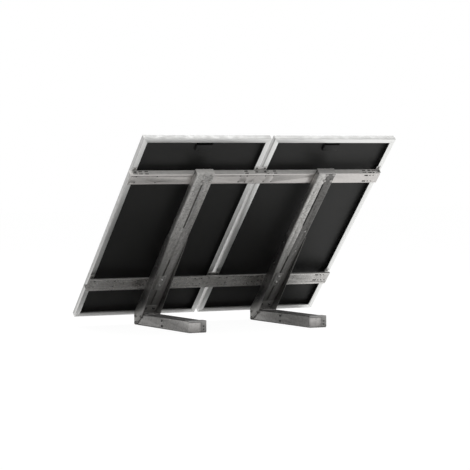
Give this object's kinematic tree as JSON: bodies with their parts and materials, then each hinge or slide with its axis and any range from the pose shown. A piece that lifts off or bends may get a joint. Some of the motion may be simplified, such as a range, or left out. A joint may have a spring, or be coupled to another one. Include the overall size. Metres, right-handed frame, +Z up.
{
  "type": "solar ballast mount",
  "caption": "Free-standing ballast mount: tilted framed solar modules on C rails, held by leaning slotted posts with tapered gussets on channel feet.",
  "frame": {"origin": "on the ground, in the middle of the overall footprint", "axes": "+Z up, +X along the rails to the left as seen from behind, +Y to the back, where the modules' high edge is"},
  "size_m": [2.035, 1.3358, 1.4063],
  "materials": {
    "zinc_bright": "bright galvanised sheet with fine spangle",
    "zinc_dull": "duller galvanised sheet",
    "frame_aluminium": "clear anodised aluminium extrusion",
    "module_glass": "solar glass",
    "cell_sheet": "laminated dark cells",
    "backsheet": "black backsheet",
    "junction_plastic": "black moulded plastic",
    "fastener_steel": "dark zinc flake"
  },
  "bodies": {
    "root": {"bridge_washers": "zinc_bright", "clamp_bolts": "fastener_steel", "corner_keys": "frame_aluminium", "gusset_bolts": "fastener_steel", "head_bolts": "fastener_steel", "head_nuts": "fastener_steel", "left_base_cleat": "zinc_bright", "left_foot_channel_minus_x": "zinc_dull", "left_foot_channel_plus_x": "zinc_dull", "left_foot_end_plate": "zinc_dull", "left_foot_strap": "zinc_dull", "left_gusset_minus_x": "zinc_bright", "left_gusset_plus_x": "zinc_bright", "left_junction_box": "junction_plastic", "left_junction_box_lid": "junction_plastic", "left_module_backsheet": "backsheet", "left_module_cell_sheet": "cell_sheet", "left_module_frame_bottom": "frame_aluminium", "left_module_frame_minus_x": "frame_aluminium", "left_module_frame_plus_x": "frame_aluminium", "left_module_frame_top": "frame_aluminium", "left_module_glass": "module_glass", "left_post_channel_minus_x": "zinc_dull", "left_post_channel_plus_x": "zinc_bright", "left_post_head_cap": "zinc_bright", "left_post_lower_plate": "zinc_bright", "left_post_tie_plate": "zinc_bright", "lower_bolts": "fastener_steel", "lower_nuts": "fastener_steel", "lower_rail": "zinc_dull", "lower_rail_angle": "zinc_dull", "module_clamps": "zinc_bright", "right_base_cleat": "zinc_bright", "right_foot_channel_minus_x": "zinc_dull", "right_foot_channel_plus_x": "zinc_dull", "right_foot_end_plate": "zinc_dull", "right_foot_strap": "zinc_dull", "right_gusset_minus_x": "zinc_bright", "right_gusset_plus_x": "zinc_bright", "right_junction_box": "junction_plastic", "right_junction_box_lid": "junction_plastic", "right_module_backsheet": "backsheet", "right_module_cell_sheet": "cell_sheet", "right_module_frame_bottom": "frame_aluminium", "right_module_frame_minus_x": "frame_aluminium", "right_module_frame_plus_x": "frame_aluminium", "right_module_frame_top": "frame_aluminium", "right_module_glass": "module_glass", "right_post_channel_minus_x": "zinc_dull", "right_post_channel_plus_x": "zinc_bright", "right_post_head_cap": "zinc_bright", "right_post_lower_plate": "zinc_bright", "right_post_tie_plate": "zinc_bright", "tie_bolts": "fastener_steel", "upper_rail": "zinc_bright"}
  },
  "joints": []
}
